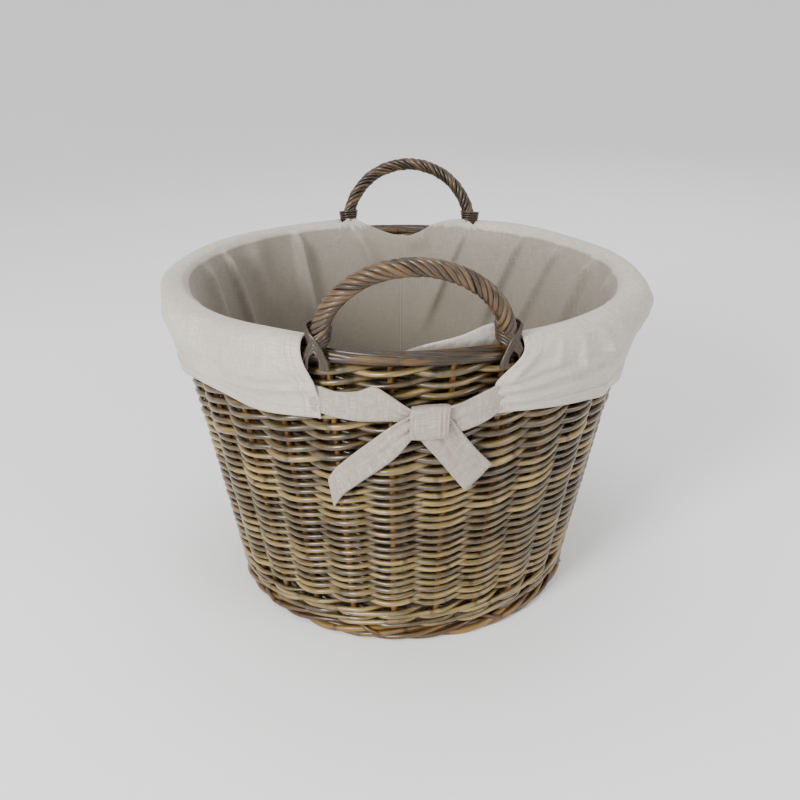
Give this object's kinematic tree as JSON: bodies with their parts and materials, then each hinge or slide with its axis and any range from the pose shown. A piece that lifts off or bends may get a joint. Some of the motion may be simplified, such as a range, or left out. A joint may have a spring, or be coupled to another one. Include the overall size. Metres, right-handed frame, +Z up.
{
  "type": "wicker log basket",
  "caption": "Round tapered willow log basket with a roped handle at front and back and a fabric lining turned over the rim and tied under each handle.",
  "frame": {"origin": "on the floor, under the middle of the basket", "axes": "+Z up; -Y is the front, so the handles and ties are at -Y and +Y; +X is to the right seen from the front"},
  "size_m": [0.5276, 0.5412, 0.4337],
  "materials": {
    "stake_willow": "thin dark antique stain over orange-brown willow",
    "weave_willow": "antique grey-brown washed willow, low gloss",
    "border_willow": "golden brown willow rods, satin",
    "handle_willow": "dark grey-brown willow rods, satin",
    "lining_cloth": "plain woven linen-look cotton, matt"
  },
  "bodies": {
    "root": {"back_handle": "handle_willow", "back_handle_binding_left": "handle_willow", "back_handle_binding_right": "handle_willow", "back_tie_knot": "lining_cloth", "back_tie_left": "lining_cloth", "back_tie_right": "lining_cloth", "base_stick_slit_1": "stake_willow", "base_stick_slit_2": "stake_willow", "base_stick_slit_3": "stake_willow", "base_stick_slit_4": "stake_willow", "base_stick_through_1": "stake_willow", "base_stick_through_2": "stake_willow", "base_stick_through_3": "stake_willow", "base_weave": "weave_willow", "border_rod_inner_high": "border_willow", "border_rod_inner_low": "border_willow", "border_rod_outer_high": "border_willow", "border_rod_outer_low": "border_willow", "foot_border": "border_willow", "front_handle": "handle_willow", "front_handle_binding_left": "handle_willow", "front_handle_binding_right": "handle_willow", "front_tie_knot": "lining_cloth", "front_tie_left": "lining_cloth", "front_tie_right": "lining_cloth", "lining_base": "lining_cloth", "lining_side": "lining_cloth", "stake_01": "stake_willow", "stake_02": "stake_willow", "stake_03": "stake_willow", "stake_04": "stake_willow", "stake_05": "stake_willow", "stake_06": "stake_willow", "stake_07": "stake_willow", "stake_08": "stake_willow", "stake_09": "stake_willow", "stake_10": "stake_willow", "stake_11": "stake_willow", "stake_12": "stake_willow", "stake_13": "stake_willow", "stake_14": "stake_willow", "stake_15": "stake_willow", "stake_16": "stake_willow", "stake_17": "stake_willow", "stake_18": "stake_willow", "stake_19": "stake_willow", "stake_20": "stake_willow", "stake_21": "stake_willow", "stake_22": "stake_willow", "stake_23": "stake_willow", "stake_24": "stake_willow", "stake_25": "stake_willow", "stake_26": "stake_willow", "stake_27": "stake_willow", "stake_28": "stake_willow", "upsett_waling": "weave_willow", "wall_weave_fine": "weave_willow", "wall_weave_thick": "weave_willow"}
  },
  "joints": []
}
